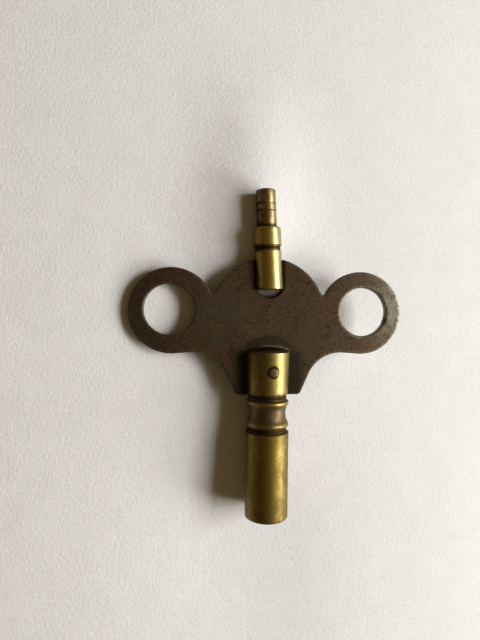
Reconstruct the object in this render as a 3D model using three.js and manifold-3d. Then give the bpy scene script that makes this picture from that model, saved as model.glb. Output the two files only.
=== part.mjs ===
// A double-ended winding key for a clock: a flat steel wing plate with two finger rings, a large
// brass winding barrel held on the plate by a cross pin, and a small brass regulator barrel that
// carries a separate tip for the regulator arbor.
//
// Millimetres. The pieces are drawn in the key's own frame: Y runs along the key's axis with the
// small end towards +Y, X runs across the wings, and Z comes out of the plate's front face. The
// finished key is then rolled onto its left wing, as it lies on a table, with +Z up.

import * as THREE from 'three';
import { mergeVertices } from 'three/addons/utils/BufferGeometryUtils.js';
import Module from 'manifold-3d';

const wasm = await Module();
wasm.setup();

// Wing plate
const PLATE_THICKNESS = 1.4;
const PLATE_EDGE_BREAK = 0.12;
const LOBE_CENTRE_Y = 0.7;
const LOBE_RADIUS = 10.76;
const RING_CENTRE = new THREE.Vector2(17.6, 1.6);
const RING_RADIUS = 7.69;
const FINGER_HOLE_CENTRE = new THREE.Vector2(17.97, 1.78);
const FINGER_HOLE_RADIUS = 4.55;
const NOTCH_FILLET = 0.55;
const COVE_CENTRE = new THREE.Vector2(13.7, -12.5);
const COVE_RADIUS = 6.65;
const COVE_END = THREE.MathUtils.degToRad(155.8);
const FOOT_Y = -13.55;
const FOOT_FILLET = 0.9;

// Winding barrel, from its mouth (lowest Y) to its inner end
const BARREL_MOUTH_Y = -35.9;
const BARREL_SLEEVE_RADIUS = 3.95;
const BARREL_RIM_ROUND = 0.3;
const BARREL_SHOULDER_Y = -20.25;
const BARREL_NECK_RADIUS = 3.48;
const LOWER_BEAD_Y = -18.85;
const UPPER_BEAD_Y = -14.95;
const BEAD_RADIUS = 3.9;
const BEAD_HALF_WIDTH = 0.5;
const COVE_WAIST_RADIUS = 3.36;
const UPPER_NECK_Y = -13.4;
const BARREL_BODY_RADIUS = 3.77;
const BARREL_HEEL_RADIUS = 3.97;
const BARREL_HEEL_Y = -5.75;
const BARREL_CROWN_Y = -5.0;
const TURNED_CHAMFER = 0.12;

// Winding socket: a 4.5 mm square arbor with 0.1 mm of play
const SOCKET_ACROSS_FLATS = 4.6;
const SOCKET_DEPTH = 14;
const SOCKET_LEAD_IN = 0.3;

// Cross pin through the winding barrel and the plate, drilled a little off the key's axis
const PIN_X = 0.3;
const PIN_Y = -9.2;
const PIN_RADIUS = 0.7;
const PIN_HEAD_RADIUS = 0.95;
const PIN_HEAD_SEAT = 3.74;
const PIN_HEAD_TOP = 4.22;
const PIN_DOME_FULLNESS = 0.8;
const PIN_TAIL = -3.8;

// Regulator barrel, in a frame whose origin is the middle of its inner end
const REGULATOR_X = 0.15;
const REGULATOR_INNER_Y = 5.6;
const REGULATOR_LEAN = THREE.MathUtils.degToRad(3);
const REGULATOR_INNER_RADIUS = 2.54;
const REGULATOR_BODY_RADIUS = 2.47;
const REGULATOR_BODY_LENGTH = 7.1;
const REGULATOR_GROOVE_RADIUS = 2.34;
const COLLAR_START = 8.0;
const COLLAR_END = 11.3;
const COLLAR_RADIUS = 2.57;
const COLLAR_CHAMFER = 0.2;
const REGULATOR_SLOT_DEPTH = 6.05;

// The seat milled in both faces of the plate for the regulator barrel
const SEAT_DEPTH = 0.3;
const SEAT_RADIUS = 2.77;
const SEAT_CENTRE = 1.3;
const SEAT_RUN = 8;

// Regulator tip: a 1.9 mm square arbor with 0.1 mm of play
const TIP_END = 18.25;
const TIP_RADIUS = 1.86;
const TIP_EDGE = 0.15;
const TIP_SHANK_START = 8.6;
const TIP_SHANK_RADIUS = 1.5;
const TIP_LINES = [14.4, 15.7];
const TIP_LINE_DEPTH = 0.06;
const TIP_SOCKET_ACROSS_FLATS = 2.0;
const TIP_SOCKET_DEPTH = 6.5;
const TIP_SOCKET_LEAD_IN = 0.15;

// Space left between pieces that touch on the real key
const FIT_GAP = 0.04;

// How far a cutting solid runs out past the face that it opens
const CUT_MARGIN = 1;
const MERGE_TOLERANCE = 1e-4;

const OUTLINE_CURVE_STEPS = 10;
const TURNED_CURVE_STEPS = 4;
const LARGE_TURNED_SIDES = 48;
const SMALL_TURNED_SIDES = 36;
const PIN_SIDES = 20;
const QUARTER_TURN = Math.PI / 2;

const STEEL = { color: 0x4a3b2a, roughness: 0.5, metalness: 0.85 };
const BRASS = { color: 0x9a7a34, roughness: 0.35, metalness: 0.95 };
const TIP_BRONZE = { color: 0x7a5a34, roughness: 0.45, metalness: 0.9 };
const PIN_BRONZE = { color: 0x8a6a3a, roughness: 0.4, metalness: 0.9 };

// Solids

function toSolid(geometry, matrix = new THREE.Matrix4()) {
  const bare = geometry.clone().applyMatrix4(matrix);
  bare.deleteAttribute('normal');
  bare.deleteAttribute('uv');
  const merged = mergeVertices(bare, MERGE_TOLERANCE);
  return new wasm.Manifold(new wasm.Mesh({
    numProp: 3,
    vertProperties: new Float32Array(merged.attributes.position.array),
    triVerts: new Uint32Array(merged.index.array),
  }));
}

function toMesh(name, solid, look) {
  const result = solid.getMesh();
  const geometry = new THREE.BufferGeometry();
  geometry.setAttribute('position', new THREE.BufferAttribute(result.vertProperties, 3));
  geometry.setIndex(new THREE.BufferAttribute(result.triVerts, 1));
  geometry.computeVertexNormals();
  const mesh = new THREE.Mesh(geometry, new THREE.MeshStandardMaterial(look));
  mesh.name = name;
  return mesh;
}

function turned(profile, sides) {
  return toSolid(new THREE.LatheGeometry(profile.getPoints(TURNED_CURVE_STEPS), sides));
}

// A flat outline given a thickness, from bottom up along Z.
function slab(shape, bottom, thickness) {
  const geometry = new THREE.ExtrudeGeometry(shape, {
    depth: thickness,
    bevelEnabled: false,
    curveSegments: OUTLINE_CURVE_STEPS,
  });
  return toSolid(geometry, new THREE.Matrix4().makeTranslation(0, 0, bottom));
}

// A block centred on the key's axis that covers a stretch of Y.
function axisBlock(width, thickness, startY, endY) {
  const geometry = new THREE.BoxGeometry(width, endY - startY, thickness);
  return toSolid(geometry, new THREE.Matrix4().makeTranslation(0, (startY + endY) / 2, 0));
}

// The pyramid-shaped lead-in of a square socket: wide at mouthY, closing to the socket's size.
function squareLeadIn(acrossFlats, leadIn, mouthY, inward) {
  const wide = (acrossFlats / 2 + 2 * leadIn) * Math.SQRT2;
  const narrow = (acrossFlats / 2) * Math.SQRT2;
  const geometry = new THREE.CylinderGeometry(narrow, wide, 2 * leadIn, 4);
  const place = new THREE.Matrix4().makeTranslation(0, mouthY, 0);
  if (inward < 0) {
    place.multiply(new THREE.Matrix4().makeRotationX(Math.PI));
  }
  place.multiply(new THREE.Matrix4().makeRotationY(QUARTER_TURN / 2));
  return toSolid(geometry, place);
}

// Wing plate

function upperCrossing(centreA, radiusA, centreB, radiusB) {
  const along = centreB.clone().sub(centreA);
  const distance = along.length();
  along.normalize();
  const run = (radiusA ** 2 - radiusB ** 2 + distance ** 2) / (2 * distance);
  const rise = Math.sqrt(radiusA ** 2 - run ** 2);
  const upward = new THREE.Vector2(-along.y, along.x);
  return centreA.clone().addScaledVector(along, run).addScaledVector(upward, rise);
}

// The outline's right half, clockwise from the top of the lobe to the middle of the foot.
function rightHalfOutline() {
  const lobe = new THREE.Vector2(0, LOBE_CENTRE_Y);
  const notch = upperCrossing(
    lobe, LOBE_RADIUS + NOTCH_FILLET,
    RING_CENTRE, RING_RADIUS + NOTCH_FILLET,
  );
  const lobeEnd = notch.clone().sub(lobe).angle();
  const ringStart = notch.clone().sub(RING_CENTRE).angle();

  const ringToCove = COVE_CENTRE.clone().sub(RING_CENTRE);
  const bend = Math.acos((RING_RADIUS + COVE_RADIUS) / ringToCove.length());
  const ringEnd = ringToCove.angle() + bend;

  const footCentreY = FOOT_Y + FOOT_FILLET;
  const fromFlank = COVE_RADIUS + FOOT_FILLET - Math.sin(COVE_END) * (footCentreY - COVE_CENTRE.y);
  const footCentreX = COVE_CENTRE.x + fromFlank / Math.cos(COVE_END);

  const path = new THREE.Path();
  path.absarc(lobe.x, lobe.y, LOBE_RADIUS, QUARTER_TURN, lobeEnd, true);
  path.absarc(notch.x, notch.y, NOTCH_FILLET, lobeEnd + Math.PI, ringStart + Math.PI, false);
  path.absarc(RING_CENTRE.x, RING_CENTRE.y, RING_RADIUS, ringStart, ringEnd, true);
  path.absarc(COVE_CENTRE.x, COVE_CENTRE.y, COVE_RADIUS, ringEnd - Math.PI, COVE_END, false);
  path.absarc(footCentreX, footCentreY, FOOT_FILLET, COVE_END + Math.PI, -QUARTER_TURN, true);
  path.lineTo(0, FOOT_Y);
  return path.getPoints(OUTLINE_CURVE_STEPS);
}

function plateBlank() {
  const right = rightHalfOutline();
  const left = right.slice(1, -1).reverse().map((point) => new THREE.Vector2(-point.x, point.y));
  const shape = new THREE.Shape([...right, ...left]);
  for (const side of [-1, 1]) {
    const hole = new THREE.Path();
    hole.absarc(side * FINGER_HOLE_CENTRE.x, FINGER_HOLE_CENTRE.y, FINGER_HOLE_RADIUS, 0, 2 * Math.PI);
    shape.holes.push(hole);
  }
  const geometry = new THREE.ExtrudeGeometry(shape, {
    depth: PLATE_THICKNESS - 2 * PLATE_EDGE_BREAK,
    bevelThickness: PLATE_EDGE_BREAK,
    bevelSize: PLATE_EDGE_BREAK,
    bevelOffset: -PLATE_EDGE_BREAK,
    bevelSegments: 1,
    curveSegments: 2 * OUTLINE_CURVE_STEPS,
  });
  const drop = PLATE_EDGE_BREAK - PLATE_THICKNESS / 2;
  return toSolid(geometry, new THREE.Matrix4().makeTranslation(0, 0, drop));
}

// A round-ended channel that opens out through the lobe's edge, in the regulator's frame.
function seatShape() {
  const shape = new THREE.Shape();
  shape.moveTo(-SEAT_RADIUS, SEAT_RUN);
  shape.lineTo(-SEAT_RADIUS, SEAT_CENTRE);
  shape.absarc(0, SEAT_CENTRE, SEAT_RADIUS, Math.PI, 2 * Math.PI, false);
  shape.lineTo(SEAT_RADIUS, SEAT_RUN);
  return shape;
}

function wingPlate(regulatorPlace) {
  const webHalf = PLATE_THICKNESS / 2 - SEAT_DEPTH;
  const frontSeat = slab(seatShape(), webHalf, PLATE_THICKNESS).transform(regulatorPlace.elements);
  const backSeat = slab(seatShape(), -webHalf - PLATE_THICKNESS, PLATE_THICKNESS)
    .transform(regulatorPlace.elements);
  return plateBlank().subtract(frontSeat).subtract(backSeat).subtract(pinHole());
}

// Winding barrel

function windingProfile() {
  const waistY = (LOWER_BEAD_Y + UPPER_BEAD_Y) / 2;
  const beadCurve = (UPPER_BEAD_Y - LOWER_BEAD_Y) / 11;
  const waistCurve = (UPPER_BEAD_Y - LOWER_BEAD_Y) / 3;
  const profile = new THREE.Path();
  profile.moveTo(0, BARREL_MOUTH_Y);
  profile.lineTo(BARREL_SLEEVE_RADIUS - BARREL_RIM_ROUND, BARREL_MOUTH_Y);
  profile.quadraticCurveTo(
    BARREL_SLEEVE_RADIUS, BARREL_MOUTH_Y,
    BARREL_SLEEVE_RADIUS, BARREL_MOUTH_Y + BARREL_RIM_ROUND,
  );
  profile.lineTo(BARREL_SLEEVE_RADIUS, BARREL_SHOULDER_Y - TURNED_CHAMFER);
  profile.lineTo(BARREL_SLEEVE_RADIUS - TURNED_CHAMFER, BARREL_SHOULDER_Y);
  profile.lineTo(BARREL_NECK_RADIUS, BARREL_SHOULDER_Y);
  profile.lineTo(BARREL_NECK_RADIUS, LOWER_BEAD_Y - BEAD_HALF_WIDTH);
  profile.quadraticCurveTo(BEAD_RADIUS, LOWER_BEAD_Y - BEAD_HALF_WIDTH / 2, BEAD_RADIUS, LOWER_BEAD_Y);
  profile.bezierCurveTo(
    BEAD_RADIUS, LOWER_BEAD_Y + beadCurve,
    COVE_WAIST_RADIUS, waistY - waistCurve,
    COVE_WAIST_RADIUS, waistY,
  );
  profile.bezierCurveTo(
    COVE_WAIST_RADIUS, waistY + waistCurve,
    BEAD_RADIUS, UPPER_BEAD_Y - beadCurve,
    BEAD_RADIUS, UPPER_BEAD_Y,
  );
  profile.quadraticCurveTo(
    BEAD_RADIUS, UPPER_BEAD_Y + BEAD_HALF_WIDTH / 2,
    BARREL_NECK_RADIUS, UPPER_BEAD_Y + BEAD_HALF_WIDTH,
  );
  profile.lineTo(BARREL_NECK_RADIUS, UPPER_NECK_Y);
  profile.lineTo(BARREL_BODY_RADIUS - TURNED_CHAMFER, UPPER_NECK_Y);
  profile.lineTo(BARREL_BODY_RADIUS, UPPER_NECK_Y + TURNED_CHAMFER);
  profile.lineTo(BARREL_HEEL_RADIUS, BARREL_HEEL_Y);
  profile.quadraticCurveTo(BARREL_HEEL_RADIUS / 2, BARREL_CROWN_Y, 0, BARREL_CROWN_Y);
  return profile;
}

// Stands a shape turned about Y upright on the pin's line, so that its Y becomes Z.
function onPinLine(solid) {
  const place = new THREE.Matrix4().makeTranslation(PIN_X, PIN_Y, 0);
  place.multiply(new THREE.Matrix4().makeRotationX(QUARTER_TURN));
  return solid.transform(place.elements);
}

function pinHole() {
  const reach = 2 * (BARREL_HEEL_RADIUS + CUT_MARGIN);
  return onPinLine(toSolid(new THREE.CylinderGeometry(
    PIN_RADIUS + FIT_GAP, PIN_RADIUS + FIT_GAP, reach, PIN_SIDES,
  )));
}

// The flat that the pin's head sits on, cut into the round of the barrel.
function pinHeadSeat() {
  const radius = PIN_HEAD_RADIUS + FIT_GAP;
  const seat = new THREE.Path();
  seat.moveTo(0, PIN_HEAD_SEAT - FIT_GAP);
  seat.lineTo(radius, PIN_HEAD_SEAT - FIT_GAP);
  seat.lineTo(radius, PIN_HEAD_TOP);
  seat.lineTo(0, PIN_HEAD_TOP);
  return onPinLine(turned(seat, PIN_SIDES));
}

function windingBarrel() {
  const slotEnd = FOOT_Y - FIT_GAP;
  const width = 3 * BARREL_HEEL_RADIUS;
  const slot = axisBlock(width, PLATE_THICKNESS + 2 * FIT_GAP, slotEnd, BARREL_CROWN_Y + CUT_MARGIN);
  const socket = axisBlock(
    SOCKET_ACROSS_FLATS, SOCKET_ACROSS_FLATS,
    BARREL_MOUTH_Y - CUT_MARGIN, BARREL_MOUTH_Y + SOCKET_DEPTH,
  );
  return turned(windingProfile(), LARGE_TURNED_SIDES)
    .subtract(slot)
    .subtract(socket)
    .subtract(squareLeadIn(SOCKET_ACROSS_FLATS, SOCKET_LEAD_IN, BARREL_MOUTH_Y, 1))
    .subtract(pinHole())
    .subtract(pinHeadSeat());
}

// Cross pin: a shank with a domed head in front and a flush tail behind.
function barrelPin() {
  const headRise = PIN_HEAD_TOP - PIN_HEAD_SEAT;
  const profile = new THREE.Path();
  profile.moveTo(0, PIN_TAIL);
  profile.lineTo(PIN_RADIUS, PIN_TAIL);
  profile.lineTo(PIN_RADIUS, PIN_HEAD_SEAT);
  profile.lineTo(PIN_HEAD_RADIUS, PIN_HEAD_SEAT);
  profile.lineTo(PIN_HEAD_RADIUS, PIN_HEAD_SEAT + headRise / 4);
  profile.quadraticCurveTo(PIN_HEAD_RADIUS * PIN_DOME_FULLNESS, PIN_HEAD_TOP, 0, PIN_HEAD_TOP);
  return onPinLine(turned(profile, PIN_SIDES));
}

// Regulator barrel and tip

function regulatorProfile() {
  const profile = new THREE.Path();
  profile.moveTo(0, 0);
  profile.lineTo(REGULATOR_INNER_RADIUS - TURNED_CHAMFER, 0);
  profile.lineTo(REGULATOR_INNER_RADIUS, TURNED_CHAMFER);
  profile.lineTo(REGULATOR_BODY_RADIUS, REGULATOR_BODY_LENGTH - TURNED_CHAMFER);
  profile.lineTo(REGULATOR_GROOVE_RADIUS, REGULATOR_BODY_LENGTH);
  profile.lineTo(REGULATOR_GROOVE_RADIUS, COLLAR_START);
  profile.lineTo(COLLAR_RADIUS - TURNED_CHAMFER, COLLAR_START);
  profile.lineTo(COLLAR_RADIUS, COLLAR_START + TURNED_CHAMFER);
  profile.lineTo(COLLAR_RADIUS, COLLAR_END - COLLAR_CHAMFER);
  profile.lineTo(COLLAR_RADIUS - COLLAR_CHAMFER, COLLAR_END);
  profile.lineTo(0, COLLAR_END);
  return profile;
}

function regulatorBarrel() {
  const webThickness = PLATE_THICKNESS - 2 * SEAT_DEPTH;
  const width = 3 * COLLAR_RADIUS;
  const slot = axisBlock(width, webThickness + 2 * FIT_GAP, -CUT_MARGIN, REGULATOR_SLOT_DEPTH);
  const boreRadius = TIP_SHANK_RADIUS + FIT_GAP;
  const boreFloor = TIP_SHANK_START - FIT_GAP;
  const boreTop = COLLAR_END + CUT_MARGIN;
  const bore = new THREE.CylinderGeometry(
    boreRadius, boreRadius, boreTop - boreFloor, SMALL_TURNED_SIDES,
  );
  const boreMiddle = (boreFloor + boreTop) / 2;
  return turned(regulatorProfile(), SMALL_TURNED_SIDES)
    .subtract(slot)
    .subtract(toSolid(bore, new THREE.Matrix4().makeTranslation(0, boreMiddle, 0)));
}

function regulatorTip() {
  const shoulder = COLLAR_END + FIT_GAP;
  const profile = new THREE.Path();
  profile.moveTo(0, TIP_SHANK_START);
  profile.lineTo(TIP_SHANK_RADIUS, TIP_SHANK_START);
  profile.lineTo(TIP_SHANK_RADIUS, shoulder);
  profile.lineTo(TIP_RADIUS, shoulder);
  for (const line of TIP_LINES) {
    profile.lineTo(TIP_RADIUS, line - TIP_LINE_DEPTH);
    profile.lineTo(TIP_RADIUS - TIP_LINE_DEPTH, line);
    profile.lineTo(TIP_RADIUS, line + TIP_LINE_DEPTH);
  }
  profile.lineTo(TIP_RADIUS, TIP_END - TIP_EDGE);
  profile.quadraticCurveTo(TIP_RADIUS, TIP_END, TIP_RADIUS - TIP_EDGE, TIP_END);
  profile.lineTo(0, TIP_END);
  const socket = axisBlock(
    TIP_SOCKET_ACROSS_FLATS, TIP_SOCKET_ACROSS_FLATS,
    TIP_END - TIP_SOCKET_DEPTH, TIP_END + CUT_MARGIN,
  );
  return turned(profile, SMALL_TURNED_SIDES)
    .subtract(socket)
    .subtract(squareLeadIn(TIP_SOCKET_ACROSS_FLATS, TIP_SOCKET_LEAD_IN, TIP_END, -1));
}

// The regulator barrel stands a little out of line with the winding barrel.
const regulator = new THREE.Group();
regulator.position.set(REGULATOR_X, REGULATOR_INNER_Y, 0);
regulator.rotation.z = REGULATOR_LEAN;
regulator.updateMatrix();
regulator.add(toMesh('regulator_barrel', regulatorBarrel(), BRASS));
regulator.add(toMesh('regulator_tip', regulatorTip(), TIP_BRONZE));

const key = new THREE.Group();
key.add(toMesh('wing_plate', wingPlate(regulator.matrix), STEEL));
key.add(toMesh('winding_barrel', windingBarrel(), BRASS));
key.add(toMesh('barrel_pin', barrelPin(), PIN_BRONZE));
key.add(regulator);

// The roll at which the winding barrel and the edge of the left wing touch the table together.
const wingReach = RING_CENTRE.x + RING_RADIUS - PLATE_EDGE_BREAK;
const halfThickness = PLATE_THICKNESS / 2;
key.rotation.y = Math.atan(halfThickness / wingReach)
  - Math.asin(BARREL_HEEL_RADIUS / Math.hypot(wingReach, halfThickness));

// The origin is the middle of the underside of the key's box.
const object = new THREE.Group();
object.add(key);
object.updateMatrixWorld(true);
const box = new THREE.Box3().setFromObject(object, true);
const middle = box.getCenter(new THREE.Vector3());
key.position.set(-middle.x, -middle.y, -box.min.z);

export default object;
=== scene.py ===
"""A double-ended clock winding key lying on white paper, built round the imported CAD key.

Sizes are millimetres in the key's own frame, as in part.mjs: Y along the key's axis with the small
end towards +Y, X across the wings, Z out of the plate's front face. Meshes are made in that frame
and KEY_PLACE stands them in the row frame, in metres.
"""

import math

import bpy
import numpy as np
from mathutils import Matrix, Vector, noise
from mathutils.geometry import delaunay_2d_cdt


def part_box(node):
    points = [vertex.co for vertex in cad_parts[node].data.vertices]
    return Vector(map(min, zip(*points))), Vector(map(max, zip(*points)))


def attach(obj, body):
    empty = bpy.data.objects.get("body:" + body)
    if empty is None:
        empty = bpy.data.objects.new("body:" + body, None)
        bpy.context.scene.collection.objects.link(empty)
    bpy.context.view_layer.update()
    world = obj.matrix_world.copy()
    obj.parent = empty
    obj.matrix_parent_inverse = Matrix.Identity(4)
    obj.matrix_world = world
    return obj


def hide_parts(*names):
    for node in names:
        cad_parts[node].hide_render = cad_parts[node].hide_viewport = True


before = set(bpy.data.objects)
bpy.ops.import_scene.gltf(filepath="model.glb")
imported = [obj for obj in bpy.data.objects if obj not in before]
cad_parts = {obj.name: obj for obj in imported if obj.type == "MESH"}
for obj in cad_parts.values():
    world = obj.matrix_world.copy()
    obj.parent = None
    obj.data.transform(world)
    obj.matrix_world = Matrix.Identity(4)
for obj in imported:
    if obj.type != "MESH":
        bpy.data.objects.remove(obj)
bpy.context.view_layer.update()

MM = 0.001

# Wing plate
PLATE_THICKNESS = 1.4
PLATE_EDGE_ROUND = 0.24
LOBE_CENTRE = Vector((0.0, 0.7))
LOBE_RADIUS = 10.76
RING_CENTRE = Vector((17.6, 1.6))
RING_RADIUS = 7.69
HOLE_CENTRE = Vector((17.97, 1.78))
HOLE_RADIUS = 4.55
NOTCH_FILLET = 0.55
COVE_CENTRE = Vector((13.7, -12.5))
COVE_RADIUS = 6.65
COVE_END = math.radians(155.8)
FOOT_Y = -13.55
FOOT_FILLET = 0.9
CAD_EDGE_BREAK = 0.12
LONG_WAVE = 0.02
SHORT_WAVE = 0.006

# Winding barrel
MOUTH_Y = -35.9
SLEEVE_RADIUS = 3.95
RIM_ROUND = 0.3
SHOULDER_Y = -20.25
NECK_RADIUS = 3.48
LOWER_BEAD_Y = -18.85
UPPER_BEAD_Y = -14.95
BEAD_RADIUS = 3.9
BEAD_HALF_WIDTH = 0.5
WAIST_RADIUS = 3.36
UPPER_NECK_Y = -13.4
BODY_RADIUS = 3.77
HEEL_RADIUS = 3.97
HEEL_Y = -5.75
CROWN_Y = -5.0
SOCKET_SIZE = 4.6
SOCKET_DEPTH = 14.0
SOCKET_CORNER = 0.25
SOCKET_LEAD_IN = 0.3

# The raised line on the plate along the winding barrel's heel: its height and how far it runs
HEEL_RIDGE = 0.13
HEEL_RIDGE_FADE = 3.6
HEEL_RIDGE_END = 4.3

# Cross pin
PIN_X = 0.3
PIN_Y = -9.2
PIN_RADIUS = 0.7
PIN_HEAD_RADIUS = 0.95
PIN_HEAD_SEAT = 3.74
PIN_HEAD_TOP = 4.2
PIN_TAIL = -3.8

# Regulator barrel, from the middle of its inner end
INNER_END_X = 0.15
INNER_END_Y = 5.6
LEAN = math.radians(3)
INNER_RADIUS = 2.54
SMALL_BODY_RADIUS = 2.47
SMALL_BODY_END = 7.1
GROOVE_RADIUS = 2.34
COLLAR_START = 8.0
COLLAR_END = 11.3
COLLAR_RADIUS = 2.57
SMALL_SLOT_DEPTH = 6.05
SEAT_DEPTH = 0.3
SEAT_RADIUS = 2.77
SEAT_CENTRE_Y = 1.3
SEAT_BURR = 0.02

# Regulator tip
TIP_END = 18.25
TIP_RADIUS = 1.86
TIP_SHANK_START = 8.6
TIP_SHANK_RADIUS = 1.5
TIP_LINES = (14.4, 15.7)
TIP_SOCKET_SIZE = 2.0
TIP_SOCKET_DEPTH = 6.5
TIP_SOCKET_CORNER = 0.1
TIP_SOCKET_LEAD_IN = 0.15

# The gap left between pieces, and how far a cutter runs past what it cuts
FIT_GAP = 0.02
OVERRUN = 1.0

# The plate's mesh: distances of its fine lines from the rims, seat and heel, and its grid between them
RIM_LINES = (0.0, 0.02, 0.07, 0.15, PLATE_EDGE_ROUND)
SEAT_LINES = (-0.1, -0.05, 0.0, 0.05, 0.2, 0.4)
HEEL_LINES = (-0.1, 0.0, 0.08, 0.18, 0.32)
GRID_SPACING = 0.42

# Marks on the plate's face: each one's centre, and its reach along X and Y
BLOOM = ((-8.0, 1.5), (4.5, 4.5))
# Bare steel on the right ring, partly a painted reflection of the window
BARE_AND_GLINT_PATCH = ((25.5, 2.5), (6.0, 6.0))
BLOTCH = ((22.3, 0.2), (0.6, 1.2))
# The painted shadow ahead of the winding barrel's heel
HEEL_SHADOW = ((0.0, HEEL_Y), (4.5, 3.1))

# Paper
PAPER_REACH = 294.0
FOLD_RISE = 1.4
FOLD_LIP = 0.6
SWELL_RISE = 0.6
DIP_DEPTH = 1.2
COCKLE_RISE = 0.12

# Light and camera. The lamps' distance and sizes and the camera's clip are metres.
LAMP_DISTANCE = 0.5
HIGH_DAYLIGHT = (1.0, 1.0, 1.0)
LOW_DAYLIGHT = (1.0, 0.965, 0.87)
ROOM_COLOUR = (0.108, 0.073, 0.034)
BACKDROP_COLOUR = (0.52, 0.5, 0.46)
CAMERA_OFFSET = (-5.2, 0, 81)
CAMERA_TURN = math.radians(0.7)
CAMERA_LEAN = math.radians(-15)
LENS = 24.75
SENSOR_WIDTH = 36
NEAR_CLIP = 0.001


def rest_roll():
    """The roll at which the winding barrel and the left wing's edge touch the table together."""
    reach = RING_CENTRE.x + RING_RADIUS - CAD_EDGE_BREAK
    half = PLATE_THICKNESS / 2
    return math.atan(half / reach) - math.asin(HEEL_RADIUS / math.hypot(reach, half))


barrel_low, barrel_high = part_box("winding_barrel")
KEY_ORIGIN = Vector((
    (barrel_low.x + barrel_high.x) / 2,
    barrel_low.y - MOUTH_Y * MM,
    (barrel_low.z + barrel_high.z) / 2,
))
KEY_PLACE = Matrix.Translation(KEY_ORIGIN) @ Matrix.Rotation(rest_roll(), 4, "Y")
REGULATOR_IN_KEY = Matrix.Translation((INNER_END_X, INNER_END_Y, 0)) @ Matrix.Rotation(LEAN, 4, "Z")
REGULATOR_PLACE = KEY_PLACE @ Matrix.Scale(MM, 4) @ REGULATOR_IN_KEY @ Matrix.Scale(1 / MM, 4)


# ---------------------------------------------------------------- mesh tools


def new_piece(name, vertices, faces, place=KEY_PLACE):
    """A mesh object from vertices in millimetres."""
    mesh = bpy.data.meshes.new(name)
    mesh.from_pydata([Vector(v) * MM for v in vertices], [], faces)
    mesh.validate()
    piece = bpy.data.objects.new(name, mesh)
    bpy.context.scene.collection.objects.link(piece)
    piece.matrix_world = place
    return piece


def apply_modifiers(piece):
    """Replaces the piece's mesh with what its modifiers make of it."""
    bpy.context.view_layer.update()
    depsgraph = bpy.context.evaluated_depsgraph_get()
    mesh = bpy.data.meshes.new_from_object(piece.evaluated_get(depsgraph))
    piece.modifiers.clear()
    piece.data = mesh


def carve(piece, *cutters):
    """Cuts each cutter's solid out of the piece and removes the cutters."""
    for cutter in cutters:
        cut = piece.modifiers.new("cut", "BOOLEAN")
        cut.operation = "DIFFERENCE"
        cut.solver = "EXACT"
        cut.object = cutter
    apply_modifiers(piece)
    for cutter in cutters:
        bpy.data.objects.remove(cutter)


def soften_edges(piece, width):
    """Rounds every edge sharper than 35 degrees and smooths the rest."""
    bevel = piece.modifiers.new("soften", "BEVEL")
    bevel.width = width * MM
    bevel.segments = 3
    bevel.limit_method = "ANGLE"
    bevel.angle_limit = math.radians(35)
    bevel.use_clamp_overlap = False
    apply_modifiers(piece)
    smooth(piece, 40)


def smooth(piece, angle):
    """Smooth shading, with a crease wherever faces meet at more than angle degrees."""
    piece.data.shade_smooth()
    piece.data.set_sharp_from_angle(angle=math.radians(angle))


def places(piece):
    """The piece's vertices as one row each of x, y and z, in millimetres in its own frame."""
    flat = np.empty(len(piece.data.vertices) * 3, np.float32)
    piece.data.vertices.foreach_get("co", flat)
    return flat.reshape(-1, 3) / MM


def paint(piece, name, values):
    """A number from 0 to 1 at each vertex, which the materials read by name."""
    layer = piece.data.attributes.new(name, "FLOAT", "POINT")
    layer.data.foreach_set("value", np.clip(values, 0, 1).astype(np.float32))


def step(low, high, value):
    """0 below low, 1 above high, with a smooth change between."""
    t = np.clip((value - low) / (high - low), 0, 1)
    return t * t * (3 - 2 * t)


def bump_at(value, centre, width):
    """1 at centre, falling to nothing about two widths away."""
    return np.exp(-((value - centre) / width) ** 2)


def bezier(start, first, second, end, steps):
    """Points after start along a cubic curve."""
    points = []
    for i in range(1, steps + 1):
        t = i / steps
        s = 1 - t
        weights = (s ** 3, 3 * s * s * t, 3 * s * t * t, t ** 3)
        corners = (start, first, second, end)
        points.append(tuple(sum(w * c[k] for w, c in zip(weights, corners)) for k in (0, 1)))
    return points


def rounded(corners, steps=4):
    """A profile from (radius, y, rounding) corners, each corner turned by an arc-like curve."""
    points = [corners[0][:2]]
    for before, corner, after in zip(corners, corners[1:], corners[2:]):
        here = Vector(corner[:2])
        back = Vector(before[:2]) - here
        ahead = Vector(after[:2]) - here
        reach = min(corner[2], back.length * 0.49, ahead.length * 0.49)
        if reach <= 0:
            points.append(tuple(here))
            continue
        start = here + back.normalized() * reach
        end = here + ahead.normalized() * reach
        points.append(tuple(start))
        points += bezier(start, start.lerp(here, 0.6), end.lerp(here, 0.6), end, steps)
    points.append(tuple(corners[-1][:2]))
    return points


def ringed(profile, spacing):
    """The profile with extra points along its long straights."""
    points = [profile[0]]
    for start, end in zip(profile, profile[1:]):
        pieces = max(1, math.ceil(math.dist(start, end) / spacing))
        for i in range(1, pieces + 1):
            t = i / pieces
            points.append((start[0] + (end[0] - start[0]) * t, start[1] + (end[1] - start[1]) * t))
    return points


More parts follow.
